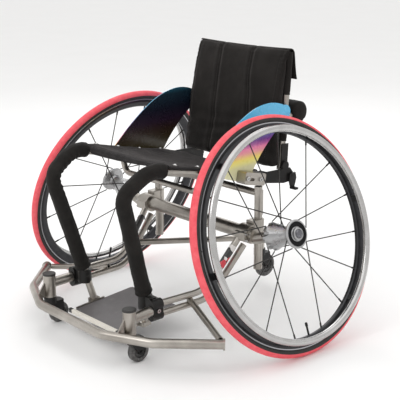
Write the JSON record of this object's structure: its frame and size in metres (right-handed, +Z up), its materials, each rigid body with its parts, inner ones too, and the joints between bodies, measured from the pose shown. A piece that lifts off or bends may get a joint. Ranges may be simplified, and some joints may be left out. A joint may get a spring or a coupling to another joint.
{
  "type": "manual wheelchair",
  "caption": "Rigid sports wheelchair with steeply cambered spoked wheels, a front wing, small casters, a rear anti-tip caster and a folding padded back.",
  "frame": {"origin": "on the floor, under the centre of the bounding box of the chair at rest", "axes": "+X towards the sitter's left, -Y the way the chair faces, +Z up"},
  "size_m": [0.9644, 0.7804, 0.761],
  "materials": {
    "black_alloy": "black anodised",
    "black_plastic": "moulded",
    "caster_core": "matt",
    "caster_rubber": "matt",
    "dark_chrome": "dark polished",
    "edge_strip": "light cream",
    "foam": "closed cell foam",
    "footplate": "dark, finely speckled",
    "frame_metal": "bare brushed metal",
    "guard_print": "banded print, light blue through pink and orange to white",
    "polished_alloy": "polished",
    "rim": "dark anodised",
    "spoke_steel": "drawn steel",
    "tyre": "black sidewall, red tread",
    "upholstery": "woven nylon",
    "wrap": "patterned wrap"
  },
  "bodies": {
    "frame": {"axle_tube": "frame_metal", "camber_plugs": "polished_alloy", "axle_clamps": "frame_metal", "side_frame_left": "frame_metal", "side_frame_right": "frame_metal", "leg_pad_left": "foam", "leg_pad_right": "foam", "seat_posts": "frame_metal", "post_brackets": "frame_metal", "cross_tubes": "frame_metal", "lower_rails": "frame_metal", "rail_wraps": "wrap", "footrest_tubes": "frame_metal", "leg_clamps": "black_alloy", "wing_tube": "frame_metal", "caster_housings": "frame_metal", "housing_caps": "black_plastic", "wing_braces": "frame_metal", "footplate": "footplate", "footplate_edge": "edge_strip", "footplate_hangers": "polished_alloy", "seat_sling": "upholstery", "side_guards": "guard_print", "tail_frame": "frame_metal", "back_brackets": "black_alloy", "frame_bolts": "polished_alloy"},
    "tail_fork": {"tail_fork": "black_alloy"},
    "tail_wheel": {"tail_tyre": "caster_rubber", "tail_hub": "caster_core"},
    "backrest": {"back_canes": "frame_metal", "cane_clamps": "black_alloy", "push_bar": "frame_metal", "push_bar_pad": "foam", "back_upholstery": "upholstery"},
    "axle_left": {"quick_release_axle_left": "spoke_steel"},
    "axle_button_left": {"axle_button_left": "dark_chrome"},
    "wheel_left": {"tyre_left": "tyre", "rim_left": "rim", "spokes_left": "spoke_steel", "hub_shell_left": "polished_alloy", "hub_bearings_left": "spoke_steel", "handrim_left": "polished_alloy", "rim_fittings_left": "rim"},
    "caster_fork_left": {"caster_fork_left": "black_alloy"},
    "caster_wheel_left": {"caster_tyre_left": "caster_rubber", "caster_hub_left": "caster_core"},
    "back_lever_left": {"back_lever_left": "black_alloy"},
    "axle_right": {"quick_release_axle_right": "spoke_steel"},
    "axle_button_right": {"axle_button_right": "dark_chrome"},
    "wheel_right": {"tyre_right": "tyre", "rim_right": "rim", "spokes_right": "spoke_steel", "hub_shell_right": "polished_alloy", "hub_bearings_right": "spoke_steel", "handrim_right": "polished_alloy", "rim_fittings_right": "rim"},
    "caster_fork_right": {"caster_fork_right": "black_alloy"},
    "caster_wheel_right": {"caster_tyre_right": "caster_rubber", "caster_hub_right": "caster_core"},
    "back_lever_right": {"back_lever_right": "black_alloy"}
  },
  "joints": [
    {"name": "axle_pull_left", "type": "slide", "parent": "frame", "child": "axle_left", "axis": [0.9545, 0, 0.2982], "range_m": [0, 0.11]},
    {"name": "button_press_left", "type": "slide", "parent": "axle_left", "child": "axle_button_left", "axis": [-0.9545, 0, -0.2982], "range_m": [0, 0.003], "stiffness_N_per_m": 500, "springref_m": -0.001},
    {"name": "wheel_spin_left", "type": "hinge", "parent": "axle_left", "child": "wheel_left", "pos_m": [0.359, 0.06925, 0.30601], "axis": [0.9545, 0, 0.2982], "continuous": true},
    {"name": "caster_swivel_left", "type": "hinge", "parent": "frame", "child": "caster_fork_left", "pos_m": [0.184, -0.31775, 0.1], "axis": [0, 0, 1], "continuous": true},
    {"name": "caster_roll_left", "type": "hinge", "parent": "caster_fork_left", "child": "caster_wheel_left", "pos_m": [0.184, -0.29175, 0.03], "axis": [1, 0, 0], "continuous": true},
    {"name": "back_release_left", "type": "hinge", "parent": "frame", "child": "back_lever_left", "pos_m": [0.198, 0.25925, 0.405], "axis": [1, 0, 0], "range_deg": [0, 25], "stiffness_Nm_per_rad": 0.5, "springref_deg": -17.19},
    {"name": "axle_pull_right", "type": "slide", "parent": "frame", "child": "axle_right", "axis": [-0.9545, 0, 0.2982], "range_m": [0, 0.11]},
    {"name": "button_press_right", "type": "slide", "parent": "axle_right", "child": "axle_button_right", "axis": [0.9545, 0, -0.2982], "range_m": [0, 0.003], "stiffness_N_per_m": 500, "springref_m": -0.001},
    {"name": "wheel_spin_right", "type": "hinge", "parent": "axle_right", "child": "wheel_right", "pos_m": [-0.359, 0.06925, 0.30601], "axis": [-0.9545, 0, 0.2982], "continuous": true},
    {"name": "caster_swivel_right", "type": "hinge", "parent": "frame", "child": "caster_fork_right", "pos_m": [-0.184, -0.31775, 0.1], "axis": [0, 0, 1], "continuous": true},
    {"name": "caster_roll_right", "type": "hinge", "parent": "caster_fork_right", "child": "caster_wheel_right", "pos_m": [-0.184, -0.29175, 0.03], "axis": [1, 0, 0], "continuous": true},
    {"name": "back_release_right", "type": "hinge", "parent": "frame", "child": "back_lever_right", "pos_m": [-0.198, 0.25925, 0.405], "axis": [1, 0, 0], "range_deg": [0, 25], "stiffness_Nm_per_rad": 0.5, "springref_deg": -17.19},
    {"name": "tail_swivel", "type": "hinge", "parent": "frame", "child": "tail_fork", "pos_m": [0, 0.33125, 0.15], "axis": [0, 0, 1], "continuous": true},
    {"name": "tail_roll", "type": "hinge", "parent": "tail_fork", "child": "tail_wheel", "pos_m": [0, 0.35425, 0.066], "axis": [1, 0, 0], "continuous": true},
    {"name": "back_fold", "type": "hinge", "parent": "frame", "child": "backrest", "pos_m": [0.174, 0.23725, 0.437], "axis": [1, 0, 0], "range_deg": [0, 38]}
  ]
}
